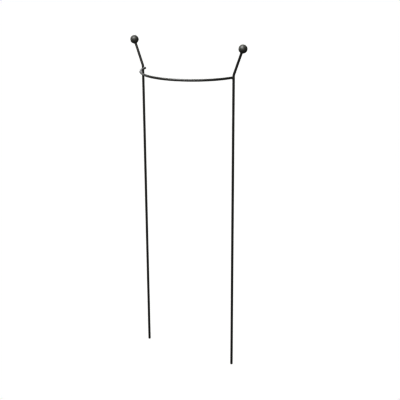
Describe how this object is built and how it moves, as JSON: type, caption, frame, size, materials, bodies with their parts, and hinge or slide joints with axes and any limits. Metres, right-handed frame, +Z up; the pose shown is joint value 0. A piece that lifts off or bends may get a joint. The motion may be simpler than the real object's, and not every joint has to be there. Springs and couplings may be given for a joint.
{
  "type": "half-round plant support",
  "caption": "Half-round garden plant support: straight rod legs with outward-bent arms, ball finials and a forward-bowed hoop joining them near the top.",
  "frame": {"origin": "midway between the two leg axes, level with the legs' lower ends", "axes": "+Z up along the legs, +X from the left leg to the right leg as seen from the front, and the hoop bows towards -Y, which is the front"},
  "size_m": [0.404, 0.1343, 0.9977],
  "materials": {
    "coated_rod": "black satin powder coat on round steel bar",
    "coated_ball": "black satin powder coat on a steel ball",
    "coated_weld": "black satin powder coat over weld metal"
  },
  "bodies": {
    "root": {"left_leg": "coated_rod", "right_leg": "coated_rod", "front_hoop": "coated_rod", "left_hoop_weld": "coated_weld", "right_hoop_weld": "coated_weld", "left_ball": "coated_ball", "right_ball": "coated_ball", "left_ball_weld": "coated_weld", "right_ball_weld": "coated_weld"}
  },
  "joints": []
}
